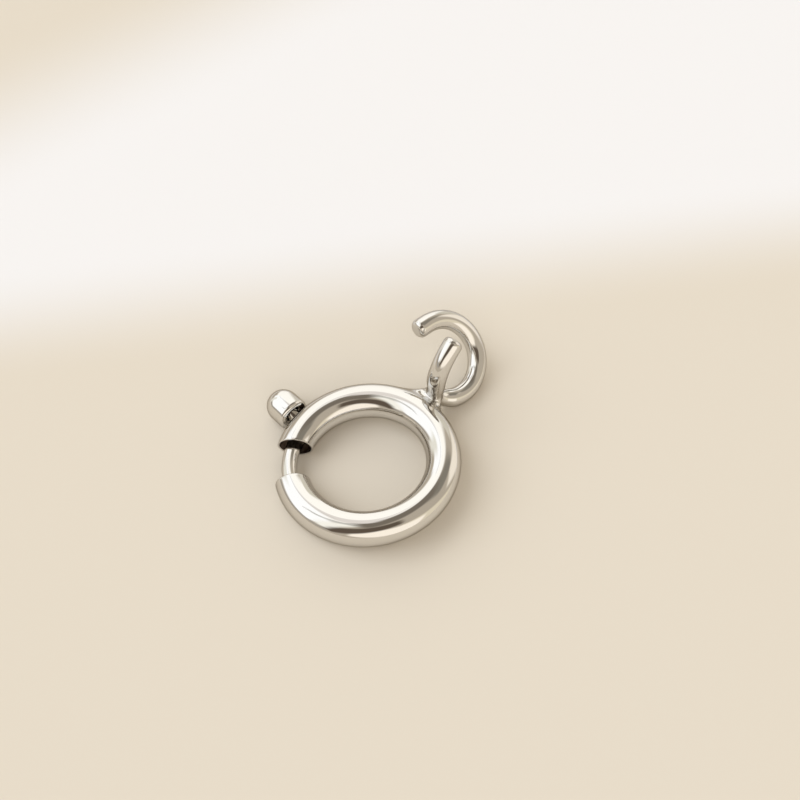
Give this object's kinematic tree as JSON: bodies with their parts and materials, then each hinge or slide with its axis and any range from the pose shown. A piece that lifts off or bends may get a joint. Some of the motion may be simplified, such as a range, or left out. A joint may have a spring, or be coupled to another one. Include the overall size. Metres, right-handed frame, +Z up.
{
  "type": "spring ring clasp",
  "caption": "Spring ring clasp: a hollow ring tube closed by a curved sliding bolt with a thumb knob, and a twisted open wire eye that holds the end of a chain.",
  "frame": {"origin": "centre of the ring, in the middle plane of its tube; the floor that the clasp lies on is 0.80 mm below", "axes": "+X from the ring's centre across the neck to the wire eye, +Z up from the floor"},
  "size_m": [0.0093, 0.0072, 0.0034],
  "materials": {
    "ring_body": "polished white gold",
    "bolt": "polished white gold",
    "thumb_knob": "polished white gold"
  },
  "bodies": {
    "ring": {"ring_body": "ring_body"},
    "slider": {"bolt": "bolt", "thumb_knob": "thumb_knob"}
  },
  "joints": [
    {"name": "bolt_slide", "type": "hinge", "parent": "ring", "child": "slider", "pos_m": [0, 0, 0], "axis": [0.0673, -0.0707, -0.9952], "range_deg": [0, 40], "stiffness_Nm_per_rad": 0.002}
  ]
}
